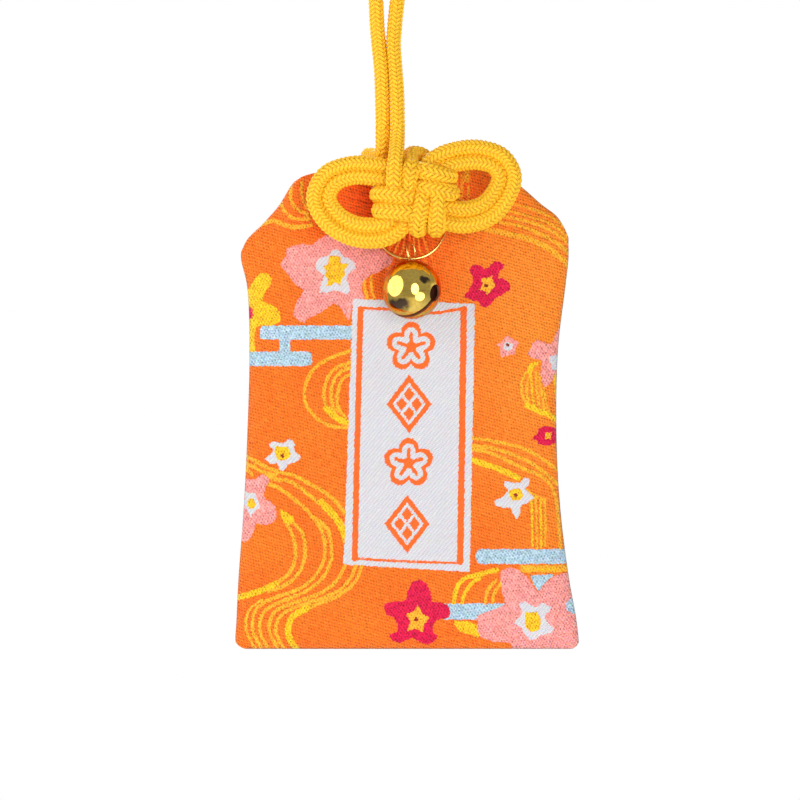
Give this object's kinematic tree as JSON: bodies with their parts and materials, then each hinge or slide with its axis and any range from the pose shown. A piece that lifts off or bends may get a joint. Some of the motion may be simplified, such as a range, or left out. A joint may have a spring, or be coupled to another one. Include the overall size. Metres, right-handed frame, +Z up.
{
  "type": "omamori charm",
  "caption": "Flat brocade amulet pouch tied at its mouth with a doubled cord knot, with a small bell on a jump ring and a cord loop to hang it by.",
  "frame": {"origin": "inside the top of the hanging loop, where a hook or finger carries the charm", "axes": "+Z up along the hanging charm, -Y out of the pouch's front, +X to the right as seen from the front"},
  "size_m": [0.0477, 0.0168, 0.14],
  "materials": {
    "brocade": "woven brocade with a soft sheen",
    "lining": "thin plain backing cloth",
    "card": "plain grey-brown card",
    "paper": "blank white paper",
    "cord": "braided golden-yellow cord",
    "ring_metal": "bright gold-coloured plating",
    "bell_metal": "polished",
    "pellet_metal": "dull"
  },
  "bodies": {
    "charm": {"pouch_front": "brocade", "pouch_back": "brocade", "lining_front": "lining", "lining_back": "lining", "stiffening_card": "card", "folded_paper": "paper", "knot_cord": "cord", "hang_loop": "cord"},
    "ring": {"jump_ring": "ring_metal"},
    "bell": {"bell_crown": "bell_metal", "bell_bowl": "bell_metal", "bell_shank": "ring_metal"},
    "pellet": {"bell_pellet": "pellet_metal"}
  },
  "joints": [
    {"name": "ring_swing", "type": "hinge", "parent": "charm", "child": "ring", "pos_m": [0.0033, -0.00193, -0.07887], "axis": [0, 0.9703, -0.2419], "range_deg": [-15, 15]},
    {"name": "bell_swing", "type": "hinge", "parent": "ring", "child": "bell", "pos_m": [0.0033, -0.00298, -0.08309], "axis": [-1, 0, 0], "range_deg": [0, 20]},
    {"name": "pellet_roll", "type": "hinge", "parent": "bell", "child": "pellet", "pos_m": [0.0033, -0.00528, -0.08761], "axis": [1, 0, 0], "range_deg": [-40, 40]}
  ]
}
